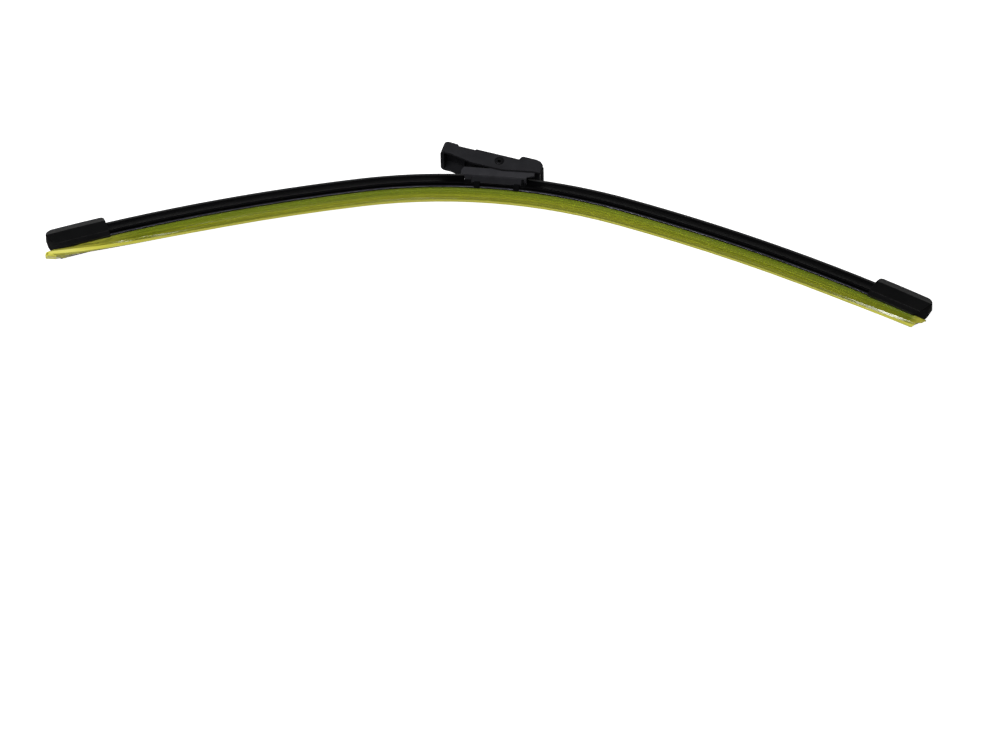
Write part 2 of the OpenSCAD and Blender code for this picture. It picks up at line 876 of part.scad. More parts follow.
spoiler_left();
spoiler_right();
rail_near();
rail_far();
wiping_rubber();
end_cap_left();
end_cap_right();
saddle();
bracket();
pivot_rivet();
adapter_body();
release_latch();
edge_sheath();
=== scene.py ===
"""Looks for a flat wiper blade that lies on its side, with a clip-on sheath over its wiping edge."""

import math

import bpy
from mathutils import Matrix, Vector


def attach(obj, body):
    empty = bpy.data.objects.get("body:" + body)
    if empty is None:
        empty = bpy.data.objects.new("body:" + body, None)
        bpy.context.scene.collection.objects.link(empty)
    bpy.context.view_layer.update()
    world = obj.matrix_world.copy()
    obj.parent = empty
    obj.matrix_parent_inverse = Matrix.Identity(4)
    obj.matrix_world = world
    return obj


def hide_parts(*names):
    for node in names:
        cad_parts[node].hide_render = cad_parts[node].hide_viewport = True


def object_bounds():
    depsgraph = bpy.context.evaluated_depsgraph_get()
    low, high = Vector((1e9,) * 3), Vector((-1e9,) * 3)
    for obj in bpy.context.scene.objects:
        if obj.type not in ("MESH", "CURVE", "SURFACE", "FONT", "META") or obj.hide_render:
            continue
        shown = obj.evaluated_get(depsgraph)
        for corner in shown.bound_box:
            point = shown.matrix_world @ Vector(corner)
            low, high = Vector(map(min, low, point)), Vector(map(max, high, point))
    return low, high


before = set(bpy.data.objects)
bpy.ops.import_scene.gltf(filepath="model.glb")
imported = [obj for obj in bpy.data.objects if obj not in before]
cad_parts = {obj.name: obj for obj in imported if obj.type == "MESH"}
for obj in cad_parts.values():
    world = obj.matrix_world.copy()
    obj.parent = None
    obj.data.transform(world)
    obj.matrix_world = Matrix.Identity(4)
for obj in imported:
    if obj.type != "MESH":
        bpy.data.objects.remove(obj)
cad_box = [list(corner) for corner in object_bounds()]

# The bow of the blade, in metres: a tight middle stretch and two flatter arms
MIDDLE_X = -0.003
BOW_RADIUS = 0.371
ARM_RADIUS = 1.226
BOW_HALF = 0.09
BEND = BOW_HALF / BOW_RADIUS
ARM_CENTRE_X = -(ARM_RADIUS - BOW_RADIUS) * math.sin(BEND)
ARM_CENTRE_Y = -BOW_RADIUS - (ARM_RADIUS - BOW_RADIUS) * math.cos(BEND)
# Below this level the rubber lip and the sheath over it can lean to a side
NECK_LEVEL = -0.0208
# Levels of the spoiler's bead, and of the sheath's rim and closed edge; a painted highlight lies along the bead
# and a painted shadow along the rim
BEAD_LEVEL = -0.0058
RIM_LEVEL = -0.01955
SHEATH_LOW = -0.0272
# Where the sheath ends, as runs along the bow from its middle, and where the rubber in it ends on the left
SHEATH_LEFT = -0.305
SHEATH_RIGHT = 0.3115
RUBBER_LEFT = -0.2929
# Where the lip starts to lean on each side, over what length, by what angle and how suddenly
LEFT_LEAN_FROM, LEFT_LEAN_LENGTH, LEFT_LEAN, LEFT_LEAN_POWER = 0.155, 0.15, math.radians(80.0), 3.0
RIGHT_LEAN_FROM, RIGHT_LEAN_LENGTH, RIGHT_LEAN, RIGHT_LEAN_POWER = 0.24, 0.07, math.radians(24.0), 1.5
# The depth over which the lip bends at its neck
NECK_BEND = 0.004
# The sheath's left tongue: how far its rim's corner is rounded, and how much of its thickness goes
TONGUE_CORNER = 0.004
TONGUE_THINNING = 0.99
# The sheath's right tip: the length that is trimmed, how far its near and far walls are cut back, and
# over what thickness the one cut goes over to the other
TRIM_LENGTH = 0.014
NEAR_WALL_CUT = 0.0048
FAR_WALL_CUT = 0.0075
WALL_SPREAD = 0.004
# The sheath's two tips take the finish of its foot beyond these runs
LEFT_TIP, RIGHT_TIP = -0.298, 0.3085
# How far the floor lies below the blade, so that the two never share a plane
FLOOR_GAP = 0.0001
# Half the width of the saddle's block, and where the adapter's hollow and the rivet's recess lie, which bound
# faces with painted shade
SADDLE_SIDE = 0.0056
BLOCK_ENDS = (-0.0183, 0.0155)
CHEEK_INSIDE = 0.0083
RECESS_RADIUS = 0.0033
# The rim of the adapter's nose lies left of this and below this, and gets painted shade
NOSE_RIM_X = -0.0362
NOSE_RIM_Y = 0.0045


# ---- Helpers for materials ----

def link_or_set(tree, socket, value):
    """Feeds a socket from another one, or sets it to a plain value"""
    if isinstance(value, bpy.types.NodeSocket):
        tree.links.new(value, socket)
    else:
        socket.default_value = value


def calculate(tree, operation, first, second=0.0):
    """The result of one step of arithmetic in a node tree"""
    step = tree.nodes.new("ShaderNodeMath")
    step.operation = operation
    link_or_set(tree, step.inputs[0], first)
    link_or_set(tree, step.inputs[1], second)
    return step.outputs[0]


def blend_colours(tree, amount, low, high):
    """One colour where the amount is 0 and the other where it is 1"""
    mix = tree.nodes.new("ShaderNodeMix")
    mix.data_type = "RGBA"
    link_or_set(tree, mix.inputs["Factor"], amount)
    link_or_set(tree, mix.inputs["A"], low)
    link_or_set(tree, mix.inputs["B"], high)
    return mix.outputs["Result"]


def spread(tree, value, low, high, new_low, new_high):
    """A value's range, moved to another range and kept inside it"""
    step = tree.nodes.new("ShaderNodeMapRange")
    link_or_set(tree, step.inputs["Value"], value)
    for name, number in (("From Min", low), ("From Max", high), ("To Min", new_low), ("To Max", new_high)):
        link_or_set(tree, step.inputs[name], number)
    return step.outputs["Result"]


def noise_on(tree, vector, scale, detail):
    """Smooth noise between 0 and 1 over some coordinates"""
    noise = tree.nodes.new("ShaderNodeTexNoise")
    tree.links.new(vector, noise.inputs["Vector"])
    link_or_set(tree, noise.inputs["Scale"], scale)
    noise.inputs["Detail"].default_value = detail
    return noise.outputs["Fac"]


def raised(tree, height, depth, strength):
    """A surface normal from a height that stands this deep, in metres"""
    bump = tree.nodes.new("ShaderNodeBump")
    tree.links.new(height, bump.inputs["Height"])
    bump.inputs["Distance"].default_value = depth
    bump.inputs["Strength"].default_value = strength
    return bump.outputs["Normal"]


def new_group(name, inputs, outputs):
    """An empty node group with number sockets, and its two end nodes"""
    tree = bpy.data.node_groups.new(name, "ShaderNodeTree")
    for socket, value in inputs.items():
        tree.interface.new_socket(socket, in_out="INPUT", socket_type="NodeSocketFloat").default_value = value
    for socket in outputs:
        tree.interface.new_socket(socket, in_out="OUTPUT", socket_type="NodeSocketFloat")
    return tree, tree.nodes.new("NodeGroupInput").outputs, tree.nodes.new("NodeGroupOutput").inputs


def use_group(tree, group, **values):
    """A group placed in a material with its own values"""
    placed = tree.nodes.new("ShaderNodeGroup")
    placed.node_tree = group
    for socket, value in values.items():
        link_or_set(tree, placed.inputs[socket.replace("_", " ").capitalize()], value)
    return placed.outputs


# ---- Shared effects ----

def make_bow_place():
    """Level above or below the rivet's arc, run along the bow from its middle, and place across the blade"""
    tree, _, result = new_group("place_on_bow", {}, ["Level", "Run", "Across"])
    place = tree.nodes.new("ShaderNodeSeparateXYZ")
    tree.links.new(tree.nodes.new("ShaderNodeTexCoord").outputs["Object"], place.inputs[0])
    out = calculate(tree, "ABSOLUTE", calculate(tree, "SUBTRACT", place.outputs["X"], MIDDLE_X))

    def level_and_angle(centre_x, centre_y, radius):
        along = calculate(tree, "SUBTRACT", out, centre_x)
        up = calculate(tree, "SUBTRACT", place.outputs["Y"], centre_y)
        squares = calculate(tree, "ADD", calculate(tree, "POWER", along, 2), calculate(tree, "POWER", up, 2))
        level = calculate(tree, "SUBTRACT", calculate(tree, "SQRT", squares), radius)
        return level, calculate(tree, "ARCTAN2", along, up)

    middle_level, middle_angle = level_and_angle(0.0, -BOW_RADIUS, BOW_RADIUS)
    arm_level, arm_angle = level_and_angle(ARM_CENTRE_X, ARM_CENTRE_Y, ARM_RADIUS)
    on_arm = calculate(tree, "GREATER_THAN", middle_angle, BEND)
    arm_run = calculate(tree, "ADD", calculate(tree, "MULTIPLY", calculate(tree, "SUBTRACT", arm_angle, BEND),
                                               ARM_RADIUS), BOW_HALF)
    middle_run = calculate(tree, "MULTIPLY", middle_angle, BOW_RADIUS)
    levels, runs = tree.nodes.new("ShaderNodeMix"), tree.nodes.new("ShaderNodeMix")
    for step, middle, arm in ((levels, middle_level, arm_level), (runs, middle_run, arm_run)):
        for socket, value in zip(("Factor", "A", "B"), (on_arm, middle, arm)):
            tree.links.new(value, step.inputs[socket])
    tree.links.new(levels.outputs["Result"], result["Level"])
    tree.links.new(place.outputs["Z"], result["Across"])
    side = calculate(tree, "SIGN", calculate(tree, "SUBTRACT", place.outputs["X"], MIDDLE_X))
    tree.links.new(calculate(tree, "MULTIPLY", side, runs.outputs["Result"]), result["Run"])
    return tree


def make_drawn_lines(bow_place):
    """Fine lines along the blade, as a die leaves them, with slow waves between them"""
    tree, given, result = new_group("drawn_lines", {"Per metre": 2600.0, "Stretch": 9.0},
                                    ["Lines", "Waves"])
    place = use_group(tree, bow_place)

    def noise_along(across_scale, along_scale, detail):
        vector = tree.nodes.new("ShaderNodeCombineXYZ")
        tree.links.new(calculate(tree, "MULTIPLY", place["Run"], along_scale), vector.inputs["X"])
        tree.links.new(calculate(tree, "MULTIPLY", place["Level"], across_scale), vector.inputs["Y"])
        tree.links.new(calculate(tree, "MULTIPLY", place["Across"], across_scale), vector.inputs["Z"])
        return noise_on(tree, vector.outputs["Vector"], 1.0, detail)

    tree.links.new(noise_along(given["Per metre"], given["Stretch"], 2.0), result["Lines"])
    tree.links.new(noise_along(calculate(tree, "MULTIPLY", given["Per metre"], 0.28),
                               calculate(tree, "MULTIPLY", given["Stretch"], 1.6), 1.0), result["Waves"])
    return tree


def make_moulded_grain():
    """The fine even grain of a moulding, and the slow mottle under it"""
    tree, given, result = new_group("moulded_grain", {"Grains per metre": 3500.0}, ["Grain", "Mottle"])
    coords = tree.nodes.new("ShaderNodeTexCoord").outputs["Object"]
    tree.links.new(noise_on(tree, coords, given["Grains per metre"], 3.0), result["Grain"])
    tree.links.new(noise_on(tree, coords, 90.0, 4.0), result["Mottle"])
    return tree


def make_handling():
    """Where dust and fingers have dulled a surface, from 0 to 1"""
    tree, given, result = new_group("handling", {"Amount": 0.5}, ["Dust"])
    coords = tree.nodes.new("ShaderNodeTexCoord").outputs["Object"]
    patches = noise_on(tree, coords, 45.0, 6.0)
    specks = noise_on(tree, coords, 1400.0, 2.0)
    soft = spread(tree, patches, 0.42, 0.72, 0.0, 1.0)
    fine = spread(tree, specks, 0.55, 0.8, 0.0, 0.6)
    both = calculate(tree, "MAXIMUM", soft, fine)
    tree.links.new(calculate(tree, "MULTIPLY", both, given["Amount"]), result["Dust"])
    return tree


BOW_PLACE = make_bow_place()
DRAWN_LINES = make_drawn_lines(BOW_PLACE)
MOULDED_GRAIN = make_moulded_grain()
HANDLING = make_handling()


# ---- Materials ----

def new_material(name, **sockets):
    """A material with its shader, whose plain values sit on the shader's own sockets"""
    material = bpy.data.materials.new(name)
    material.use_nodes = True
    shader = material.node_tree.nodes["Principled BSDF"]
    for socket, value in sockets.items():
        shader.inputs[socket.replace("_", " ")].default_value = value
    return material, material.node_tree, shader.inputs


def grey(value, blue=1.0):
    """A grey of this strength, a little blue if asked"""
    return (value, value, value * blue, 1.0)


def drawn_rubber(name, dark, light, rough, depth):
    """Extruded rubber with lines along the blade, and a painted highlight along the spoiler's bead"""
    material, tree, shader = new_material(name, Specular_IOR_Level=0.05)
    lines = use_group(tree, DRAWN_LINES, per_metre=2400.0, stretch=7.0)
    dust = use_group(tree, HANDLING, amount=0.5)["Dust"]
    colour = blend_colours(tree, lines["Lines"], dark, light)
    dusty = blend_colours(tree, calculate(tree, "MULTIPLY", dust, 0.1), colour, grey(0.012))
    level = use_group(tree, BOW_PLACE)["Level"]
    # Painted highlight: a lighter band at the bead's level stands in for the light line its edge catches
    painted_bead_highlight = spread(tree, level, BEAD_LEVEL - 0.0002, BEAD_LEVEL + 0.0002, 0.0, 1.0)
    tree.links.new(blend_colours(tree, painted_bead_highlight, dusty, grey(0.028)), shader["Base Color"])
    tree.links.new(spread(tree, lines["Waves"], 0.3, 0.7, rough - 0.06, rough + 0.08), shader["Roughness"])
    tree.links.new(raised(tree, lines["Lines"], depth, 0.6), shader["Normal"])
    return material


def moulded_plastic(name, dark, light, rough, shine=0.2, grains=3500.0, dustiness=0.5):
    """Moulded plastic with a fine grain"""
    material, tree, shader = new_material(name, Specular_IOR_Level=shine)
    grain = use_group(tree, MOULDED_GRAIN, grains_per_metre=grains)
    dust = use_group(tree, HANDLING, amount=dustiness)["Dust"]
    colour = blend_colours(tree, spread(tree, grain["Mottle"], 0.35, 0.65, 0.0, 1.0), dark, light)
    dusty = blend_colours(tree, calculate(tree, "MULTIPLY", dust, 0.15), colour, grey(0.03))
    tree.links.new(dusty, shader["Base Color"])
    tree.links.new(spread(tree, grain["Grain"], 0.3, 0.7, rough - 0.05, rough + 0.07), shader["Roughness"])
    tree.links.new(raised(tree, grain["Grain"], 0.00005, 0.5), shader["Normal"])
    return material


def drawn_steel(name, dark, light, rough):
    """Bare spring steel, drawn along the blade"""
    material, tree, shader = new_material(name, Metallic=1.0)
    lines = use_group(tree, DRAWN_LINES, per_metre=6000.0, stretch=12.0)
    tree.links.new(blend_colours(tree, lines["Lines"], dark, light), shader["Base Color"])
    tree.links.new(spread(tree, lines["Waves"], 0.3, 0.7, rough - 0.05, rough + 0.1), shader["Roughness"])
    tree.links.new(raised(tree, lines["Lines"], 0.00002, 0.5), shader["Normal"])
    return material


def coated_metal(name, dark, light, rough):
    """Sheet metal under a thin coat of paint"""
    material, tree, shader = new_material(name, Specular_IOR_Level=0.3, Coat_Weight=0.05, Coat_Roughness=0.3)
    grain = use_group(tree, MOULDED_GRAIN, grains_per_metre=1800.0)
    dust = use_group(tree, HANDLING, amount=0.6)["Dust"]
    colour = blend_colours(tree, spread(tree, grain["Mottle"], 0.35, 0.65, 0.0, 1.0), dark, light)
    tree.links.new(blend_colours(tree, calculate(tree, "MULTIPLY", dust, 0.3), colour, grey(0.05)),
                   shader["Base Color"])
    tree.links.new(spread(tree, grain["Grain"], 0.3, 0.7, rough - 0.05, rough + 0.08), shader["Roughness"])
    tree.links.new(raised(tree, grain["Grain"], 0.00004, 0.4), shader["Normal"])
    return material


def turned_steel(name, dark, light, rough):
    """Dull plated steel of a rivet, with rings round its axis"""
    material, tree, shader = new_material(name, Metallic=1.0)
    coords = tree.nodes.new("ShaderNodeTexCoord").outputs["Object"]
    rings = tree.nodes.new("ShaderNodeTexWave")
    rings.wave_type, rings.rings_direction = "RINGS", "Z"
    rings.inputs["Scale"].default_value = 900.0
    rings.inputs["Distortion"].default_value = 1.5
    tree.links.new(coords, rings.inputs["Vector"])
    dust = use_group(tree, HANDLING, amount=0.8)["Dust"]
    colour = blend_colours(tree, rings.outputs["Fac"], dark, light)
    tree.links.new(blend_colours(tree, calculate(tree, "MULTIPLY", dust, 0.5), colour, grey(0.02)),
                   shader["Base Color"])
    tree.links.new(spread(tree, dust, 0.0, 1.0, rough, rough + 0.2), shader["Roughness"])
    tree.links.new(raised(tree, rings.outputs["Fac"], 0.00001, 0.3), shader["Normal"])
    return material


# The sheath's own colour is YELLOW; GREEN_OLIVE and BROWN_OLIVE are painted shade, darker olive where the dark
# rubber inside shows through
GREEN_OLIVE = ((0.16, 0.24, 0.007, 1.0), (0.30, 0.40, 0.025, 1.0))
BROWN_OLIVE = ((0.24, 0.27, 0.009, 1.0), (0.41, 0.43, 0.025, 1.0))
YELLOW = ((0.52, 0.50, 0.03, 1.0), (0.70, 0.67, 0.09, 1.0))
# The colour of the painted shadow along the sheath's rim
RIM_PAINTED_SHADE = (0.05, 0.06, 0.006, 1.0)


def sheath_plastic(name, upper, lower, clear, rough):
    """Soft see-through plastic, streaked along its length and fluted towards its ends, with painted shade: darker
    and greener towards the rim where the rubber lies behind it, a painted shadow along the rim, and paler towards
    its ends
    """
    material, tree, shader = new_material(name, IOR=1.45, Transmission_Weight=clear)
    place = use_group(tree, BOW_PLACE)
    lines = use_group(tree, DRAWN_LINES, per_metre=1300.0, stretch=6.0)
    streak = spread(tree, lines["Lines"], 0.32, 0.68, 0.0, 1.0)
    # Painted shade of the rubber behind the sheath: the colour goes from the lower to the upper colours towards
    # the rim
    height = spread(tree, place["Level"], -0.0255, -0.0205, 0.0, 1.0)
    deep = blend_colours(tree, height, lower[0], upper[0])
    pale = blend_colours(tree, height, lower[1], upper[1])
    middle = blend_colours(tree, streak, deep, pale)
    # Towards the ends the painted shade gives way to the sheath's own pale yellow
    left_end = calculate(tree, "MULTIPLY", spread(tree, place["Run"], -0.24, -0.285, 0.1, 1.0),
                         spread(tree, streak, 0.0, 0.6, 0.55, 1.0))
    ends = calculate(tree, "MAXIMUM", left_end, spread(tree, place["Run"], 0.3, 0.3065, 0.0, 1.0))
    colour = blend_colours(tree, ends, middle, YELLOW[1])
    # Painted shadow: a dark band along the sheath's rim, left out at the left tip
    rim = spread(tree, place["Level"], RIM_LEVEL - 0.0005, RIM_LEVEL - 0.0001, 0.0, 0.8)
    painted_rim_shade = calculate(tree, "MULTIPLY", rim, spread(tree, place["Run"], LEFT_TIP, LEFT_TIP + 0.004, 0.0, 1.0))
    tree.links.new(blend_colours(tree, painted_rim_shade, colour, RIM_PAINTED_SHADE), shader["Base Color"])
    tree.links.new(spread(tree, lines["Waves"], 0.3, 0.7, rough, rough + 0.08), shader["Roughness"])
    loose = spread(tree, calculate(tree, "ABSOLUTE", place["Run"]), 0.14, 0.24, 0.04, 1.0)
    flutes = calculate(tree, "MULTIPLY", loose, lines["Waves"])
    both = calculate(tree, "ADD", calculate(tree, "MULTIPLY", lines["Lines"], 0.006), flutes)
    tree.links.new(raised(tree, both, 0.0004, 0.8), shader["Normal"])
    return material


SPOILER_RUBBER = drawn_rubber("spoiler_rubber", grey(0.0008, 1.25), grey(0.0018, 1.25), 0.5, 0.00003)
WIPING_RUBBER = drawn_rubber("wiping_rubber", grey(0.0016), grey(0.003), 0.6, 0.00002)
# Painted shade: a darker, duller copy of the cap plastic for the caps' closed ends
CAP_END_PAINTED_SHADE = moulded_plastic("cap_end_painted_shade", grey(0.002, 1.1), grey(0.003, 1.1), 0.6, 0.05, 4500.0)
CAP_PLASTIC = moulded_plastic("cap_plastic", grey(0.0026, 1.1), grey(0.0038, 1.1), 0.36, 0.22, 4500.0)
SADDLE_PLASTIC = moulded_plastic("saddle_plastic", grey(0.008, 1.2), grey(0.011, 1.2), 0.5)
# Painted shade: a near-black copy of the saddle plastic for its claws and foot, which lie in shadow
SADDLE_PAINTED_SHADE = moulded_plastic("saddle_painted_shade", grey(0.001, 1.2), grey(0.002, 1.2), 0.6, 0.05, dustiness=0.1)
ADAPTER_PLASTIC = moulded_plastic("adapter_plastic", grey(0.013, 1.15), grey(0.018, 1.15), 0.5, 0.25, 3800.0)
# Painted shade: a darker copy of the adapter plastic for its hollow, the rivet's recess, the nose's rim and faces
# turned from the light
ADAPTER_PAINTED_SHADE = moulded_plastic("adapter_painted_shade", grey(0.0055, 1.2), grey(0.0075, 1.2), 0.6, 0.1)
LATCH_PLASTIC = moulded_plastic("latch_plastic", grey(0.009, 1.15), grey(0.013, 1.15), 0.48)
SPRING_STEEL = drawn_steel("spring_steel", grey(0.10, 1.2), grey(0.2, 1.2), 0.4)
# Painted shade: a much darker copy of the rail steel for the rails' undersides
RAIL_PAINTED_SHADE = drawn_steel("rail_painted_shade", grey(0.008, 1.2), grey(0.016, 1.2), 0.5)
BRACKET_COAT = coated_metal("bracket_coat", grey(0.022, 1.15), grey(0.030, 1.15), 0.45)
RIVET_STEEL = turned_steel("rivet_steel", grey(0.02, 1.1), grey(0.05, 1.1), 0.45)
# Painted shade: the body of the sheath is coloured olive for the rubber seen through it, while its foot keeps the
# own yellow
SHEATH_WITH_PAINTED_SHADE = sheath_plastic("sheath_plastic", GREEN_OLIVE, BROWN_OLIVE, 0.6, 0.12)
SHEATH_FOOT = sheath_plastic("sheath_foot", YELLOW, YELLOW, 0.2, 0.35)


# ---- Pieces ----

def select_only(thing):
    """Nothing selected but this piece, which is the one worked on"""
    bpy.ops.object.select_all(action="DESELECT")
    thing.select_set(True)
    bpy.context.view_layer.objects.active = thing


def place_on_bow(x, y):
    """A point's run along the bow from its middle, and its level against the rivet's arc"""
    side = math.copysign(1.0, x - MIDDLE_X)
    out = abs(x - MIDDLE_X)
    angle = math.atan2(out, y + BOW_RADIUS)
    if angle < BEND:
        return side * angle * BOW_RADIUS, math.hypot(out, y + BOW_RADIUS) - BOW_RADIUS
    angle = math.atan2(out - ARM_CENTRE_X, y - ARM_CENTRE_Y)
    level = math.hypot(out - ARM_CENTRE_X, y - ARM_CENTRE_Y) - ARM_RADIUS
    return side * (BOW_HALF + (angle - BEND) * ARM_RADIUS), level


def point_on_bow(run, level):
    """Where a run along the bow and a level lie in X and Y"""
    side, out = math.copysign(1.0, run), abs(run)
    if out < BOW_HALF:
        angle, radius, centre_x, centre_y = out / BOW_RADIUS, BOW_RADIUS, 0.0, -BOW_RADIUS
    else:
        angle, radius = BEND + (out - BOW_HALF) / ARM_RADIUS, ARM_RADIUS
        centre_x, centre_y = ARM_CENTRE_X, ARM_CENTRE_Y
    x = centre_x + (radius + level) * math.sin(angle)
    return MIDDLE_X + side * x, centre_y + (radius + level) * math.cos(angle)


def lean_at(run):
    """How far the lip leans up from the floor, in radians: most at the left end, a little at the right"""
    left = max(0.0, -run - LEFT_LEAN_FROM) / LEFT_LEAN_LENGTH
    right = max(0.0, run - RIGHT_LEAN_FROM) / RIGHT_LEAN_LENGTH
    return LEFT_LEAN * left ** LEFT_LEAN_POWER + RIGHT_LEAN * right ** RIGHT_LEAN_POWER


def cut_plane(piece, place, facing):
    """Cuts the faces of a piece along a plane and keeps both sides"""
    select_only(piece)
    bpy.ops.object.mode_set(mode="EDIT")
    bpy.ops.mesh.select_all(action="SELECT")
    bpy.ops.mesh.bisect(plane_co=place, plane_no=facing)
    bpy.ops.object.mode_set(mode="OBJECT")


def cut_across(piece, first, last, step):
    """Cuts a long piece into short lengths between two runs along the bow, so that it can bend"""
    for number in range(int((last - first) / step) + 1):
        run = first + number * step
        x, y = point_on_bow(run, 0.0)
        x_below, y_below = point_on_bow(run, -0.02)
        cut_plane(piece, (x, y, 0.0), (y_below - y, x - x_below, 0.0))


def cut_ends(piece):
    """Cuts a piece into short lengths towards the blade's two ends"""
    cut_across(piece, -0.304, -0.16, 0.006)
    cut_across(piece, 0.244, 0.310, 0.006)


def lean_lip(piece):
    """Leans a piece over at the neck towards the blade's ends, as the soft lip does when the blade lies flat"""
    for point in piece.data.vertices:
        run, level = place_on_bow(point.co.x, point.co.y)
        depth, across = NECK_LEVEL - level, point.co.z
        if depth > 0.0:
            share = min(depth / NECK_BEND, 1.0)
            lean = lean_at(run) * share * share * (3.0 - 2.0 * share)
            new_depth = depth * math.cos(lean) - across * math.sin(lean)
            point.co.z = depth * math.sin(lean) + across * math.cos(lean)
            point.co.x, point.co.y = point_on_bow(run, NECK_LEVEL - new_depth)


def trim_sheath(piece):
    """Rounds the sheath's left end to a tongue, and cuts its right end back from the near rim's corner"""
    for point in piece.data.vertices:
        run, level = place_on_bow(point.co.x, point.co.y)
        height = (level - SHEATH_LOW) / (RIM_LEVEL - SHEATH_LOW)
        if run < RUBBER_LEFT:
            share = min((RUBBER_LEFT - run) / (RUBBER_LEFT - SHEATH_LEFT), 1.0)
            corner = min(max(height - 0.5, 0.0) / 0.5, 1.0)
            run += share * TONGUE_CORNER * (1.0 - math.sqrt(1.0 - corner * corner))
            point.co.z *= math.sqrt(1.0 - TONGUE_THINNING * share ** 3)
            point.co.x, point.co.y = point_on_bow(run, level)
        elif run > SHEATH_RIGHT - TRIM_LENGTH:
            share = min((run - SHEATH_RIGHT + TRIM_LENGTH) / TRIM_LENGTH, 1.0)
            near = min(max(point.co.z / WALL_SPREAD + 0.5, 0.0), 1.0)
            near_cut = NEAR_WALL_CUT * min(max(1.0 - height, 0.0) / 0.55, 1.0)
            run -= share * (near_cut * near + FAR_WALL_CUT * (1.0 - near))
            point.co.x, point.co.y = point_on_bow(run, level)


def crease_by_angle(piece):
    """Smooth faces with sharp edges between the ones that meet at an angle"""
    select_only(piece)
    bpy.ops.object.shade_smooth_by_angle(angle=math.radians(8.0))


def finished_copy(node, body, material, soften=0.0, steps=2, crease=28.0):
    """A copy of a solid with its doubles merged, its edges softened and its curves smooth, which stands for it"""
    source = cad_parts[node]
    piece = bpy.data.objects.new(node + "_finished", source.data.copy())
    bpy.context.collection.objects.link(piece)
    select_only(piece)
    bpy.ops.mesh.customdata_custom_splitnormals_clear()
    bpy.ops.object.mode_set(mode="EDIT")
    bpy.ops.mesh.select_all(action="SELECT")
    bpy.ops.mesh.remove_doubles(threshold=0.000002)
    if soften:
        bpy.ops.mesh.dissolve_limited(angle_limit=math.radians(0.4))
    bpy.ops.object.mode_set(mode="OBJECT")
    bpy.ops.object.shade_smooth()
    if soften:
        bevel = piece.modifiers.new("soft_edges", "BEVEL")
        bevel.width, bevel.segments, bevel.limit_method = soften, steps, "ANGLE"
        bevel.angle_limit = math.radians(crease)
        bevel.harden_normals = True
        bpy.ops.object.modifier_apply(modifier=bevel.name)
    piece.data.materials.clear()
    piece.data.materials.append(material)
    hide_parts(node)
    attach(piece, body)
    return piece


def second_finish(piece, material, chosen):
    """Gives the faces that are chosen by their centre and normal another finish"""
    piece.data.materials.append(material)
    for face in piece.data.polygons:
        if chosen(face.center, face.normal):
            face.material_index = len(piece.data.materials) - 1


def faces_outwards(centre, facing):
    """Faces at the closed end of a cap, which look away from the blade's middle and get painted shade"""
    run, level = place_on_bow(centre.x, centre.y)
    x, y = point_on_bow(run + math.copysign(0.001, run), level)
    return Vector((x - centre.x, y - centre.y, 0.0)).normalized().dot(facing) > 0.5


def turned_from_light(centre, facing):
    """Faces of the adapter that look down, along it or into its hollow, the floor of the rivet's recess and the
    nose's rim, which get painted shade
    """
    inside = abs(centre.z) < CHEEK_INSIDE and facing.y < 0.5
    recess = math.hypot(centre.x, centre.y) < RECESS_RADIUS
    nose_rim = centre.x < NOSE_RIM_X and centre.y < NOSE_RIM_Y
    return inside or recess or nose_rim or facing.y < -0.4 or abs(facing.x) > 0.6


def below_block(centre, facing):
    """The saddle's claws and the foot that runs through the gap, but not the middle of its block; these get
    painted shade
    """
    outside = not BLOCK_ENDS[0] < centre.x < BLOCK_ENDS[1]
    return outside or abs(abs(centre.z) - SADDLE_SIDE) > 0.00005 and facing.y < 0.5


def on_closed_edge(centre, facing):
    """Faces of the sheath's closed edge and of its two tips"""
    run, level = place_on_bow(centre.x, centre.y)
    return run < LEFT_TIP or run > RIGHT_TIP or (level < SHEATH_LOW + 0.0006 and abs(facing.z) < 0.35)


for half in ("spoiler_left", "spoiler_right"):
    finished_copy(half, "blade", SPOILER_RUBBER, 0.00018)
for rail in ("rail_near", "rail_far"):
    # The rails' undersides, which face down, get the painted shade
    second_finish(finished_copy(rail, "blade", SPRING_STEEL, 0.0001), RAIL_PAINTED_SHADE,
                  lambda centre, facing: facing.y < -0.4)
for cap in ("end_cap_left", "end_cap_right"):
    # The closed ends of the caps get the painted shade
    second_finish(finished_copy(cap, "blade", CAP_PLASTIC, 0.0003, 3, 12.0), CAP_END_PAINTED_SHADE,
                  faces_outwards)
wiping_rubber = finished_copy("wiping_rubber", "blade", WIPING_RUBBER, 0.00008)
cut_ends(wiping_rubber)
lean_lip(wiping_rubber)
saddle = finished_copy("saddle", "blade", SADDLE_PLASTIC, 0.00025)
# Cut at the block's ends, so that the claws and foot beyond them and below it get the painted shade
for block_end in BLOCK_ENDS:
    cut_plane(saddle, (block_end, 0.0, 0.0), (1.0, 0.0, 0.0))
second_finish(saddle, SADDLE_PAINTED_SHADE, below_block)
finished_copy("bracket", "blade", BRACKET_COAT, 0.0002)
finished_copy("pivot_rivet", "blade", RIVET_STEEL, 0.00015, 3)
sheath = finished_copy("edge_sheath", "blade", SHEATH_WITH_PAINTED_SHADE)
cut_ends(sheath)
cut_across(sheath, -0.3046, -0.2984, 0.001)
cut_across(sheath, RIGHT_TIP, RIGHT_TIP + 0.0001, 0.001)
second_finish(sheath, SHEATH_FOOT, on_closed_edge)
trim_sheath(sheath)
lean_lip(sheath)
crease_by_angle(sheath)
adapter_body = finished_copy("adapter_body", "adapter", ADAPTER_PLASTIC, 0.00045, 3)
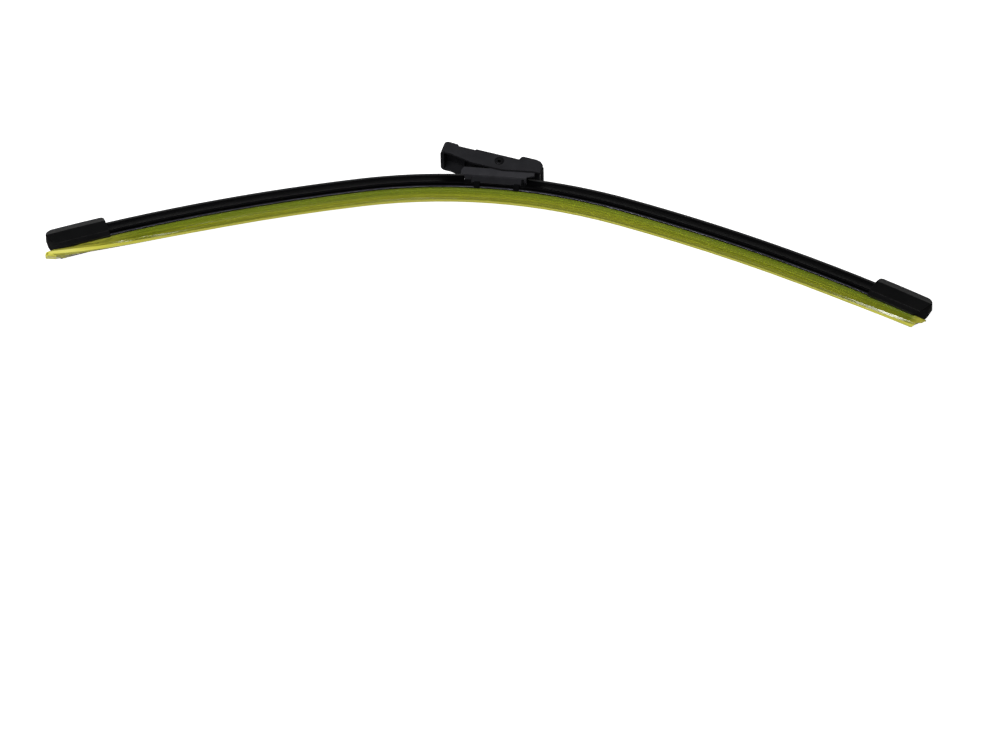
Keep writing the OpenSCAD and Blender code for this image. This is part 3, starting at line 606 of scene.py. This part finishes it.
# Cut at the nose's rim so that the rim can get the painted shade
cut_plane(adapter_body, (NOSE_RIM_X, 0.0, 0.0), (1.0, 0.0, 0.0))
cut_plane(adapter_body, (0.0, NOSE_RIM_Y, 0.0), (0.0, 1.0, 0.0))
second_finish(adapter_body, ADAPTER_PAINTED_SHADE, turned_from_light)
finished_copy("release_latch", "latch", LATCH_PLASTIC, 0.0003)


# ---- Floor, light and camera ----

def lay_floor():
    """A plain pale floor that the blade lies on, evenly white to the camera"""
    bpy.ops.mesh.primitive_plane_add(size=1.0, location=(0, 0, cad_box[0][2] - FLOOR_GAP))
    floor = bpy.context.object
    floor.name = "pale_floor"
    floor.scale = (12, 12, 1)
    bpy.ops.object.transform_apply(scale=True, location=True)
    material, tree, shader = new_material("pale_paper", Specular_IOR_Level=0.0, Roughness=0.9)
    coords = tree.nodes.new("ShaderNodeTexCoord").outputs["Object"]
    fibre = noise_on(tree, coords, 900.0, 3.0)
    tree.links.new(blend_colours(tree, fibre, grey(0.5), grey(0.56)), shader["Base Color"])
    seen = tree.nodes.new("ShaderNodeLightPath").outputs["Is Camera Ray"]
    tree.links.new(blend_colours(tree, seen, grey(0.0), grey(1.0)), shader["Emission Color"])
    shader["Emission Strength"].default_value = 1.0
    floor.data.materials.append(material)


def soft_light(name, place, size_x, size_y, strength, aim=(0.0, -0.04, 0.0)):
    """A softbox that faces a place on the blade; only a large one is seen through the sheath"""
    bpy.ops.object.light_add(type="AREA", location=place)
    light = bpy.context.object
    light.name = name
    light.data.shape = "RECTANGLE"
    light.data.size, light.data.size_y = size_x, size_y
    light.data.energy = strength
    light.rotation_euler = (Vector(place) - Vector(aim)).to_track_quat("Z", "Y").to_euler()
    light.visible_transmission = size_x > 1.0


def studio_world():
    """A room that is pale near the horizon and dark above, and white behind the floor"""
    world = bpy.data.worlds.new("studio")
    bpy.context.scene.world = world
    world.use_nodes = True
    tree = world.node_tree
    ray = tree.nodes.new("ShaderNodeLightPath").outputs["Is Camera Ray"]
    height = tree.nodes.new("ShaderNodeSeparateXYZ")
    tree.links.new(tree.nodes.new("ShaderNodeTexCoord").outputs["Generated"], height.inputs[0])
    room = blend_colours(tree, spread(tree, height.outputs["Z"], 0.05, 0.55, 0.0, 1.0), grey(0.2), grey(0.02))
    background = tree.nodes["Background"]
    tree.links.new(blend_colours(tree, ray, room, grey(1.0)), background.inputs["Color"])
    background.inputs["Strength"].default_value = 1.0


def place_camera():
    """The camera of the photograph: far off, above the wiping edge, a little to the right"""
    azimuth, elevation, roll = math.radians(6.4), math.radians(52.66), math.radians(-0.87)
    distance, lens = 8.0, 441.2
    level = Vector((math.cos(azimuth), math.sin(azimuth), 0))
    back = Vector((math.sin(azimuth) * math.cos(elevation), -math.cos(azimuth) * math.cos(elevation),
                   math.sin(elevation)))
    upright = back.cross(level)
    right = level * math.cos(roll) + upright * math.sin(roll)
    up = upright * math.cos(roll) - level * math.sin(roll)
    aim = right * 0.0003 - up * 0.1338
    bpy.ops.object.camera_add(location=aim + back * distance)
    camera = bpy.context.object
    turn = back.to_track_quat("Z", "Y").to_matrix().to_4x4()
    turn.col[0][:3], turn.col[1][:3], turn.col[2][:3] = right, up, back
    turn.translation = aim + back * distance
    camera.matrix_world = turn
    camera.data.sensor_width = 36.0
    camera.data.lens = lens
    camera.data.clip_start, camera.data.clip_end = 0.1, 50.0
    bpy.context.scene.camera = camera


lay_floor()
studio_world()
soft_light("overhead_box", (-0.3, -0.95, 1.5), 1.4, 0.9, 31.0)
soft_light("left_strip", (0.04, -0.1, 1.5), 0.1, 0.2, 0.9)
soft_light("right_box", (-0.42, -0.42, 1.5), 0.26, 0.4, 5.5)
place_camera()
bpy.context.scene.view_settings.view_transform = "Standard"
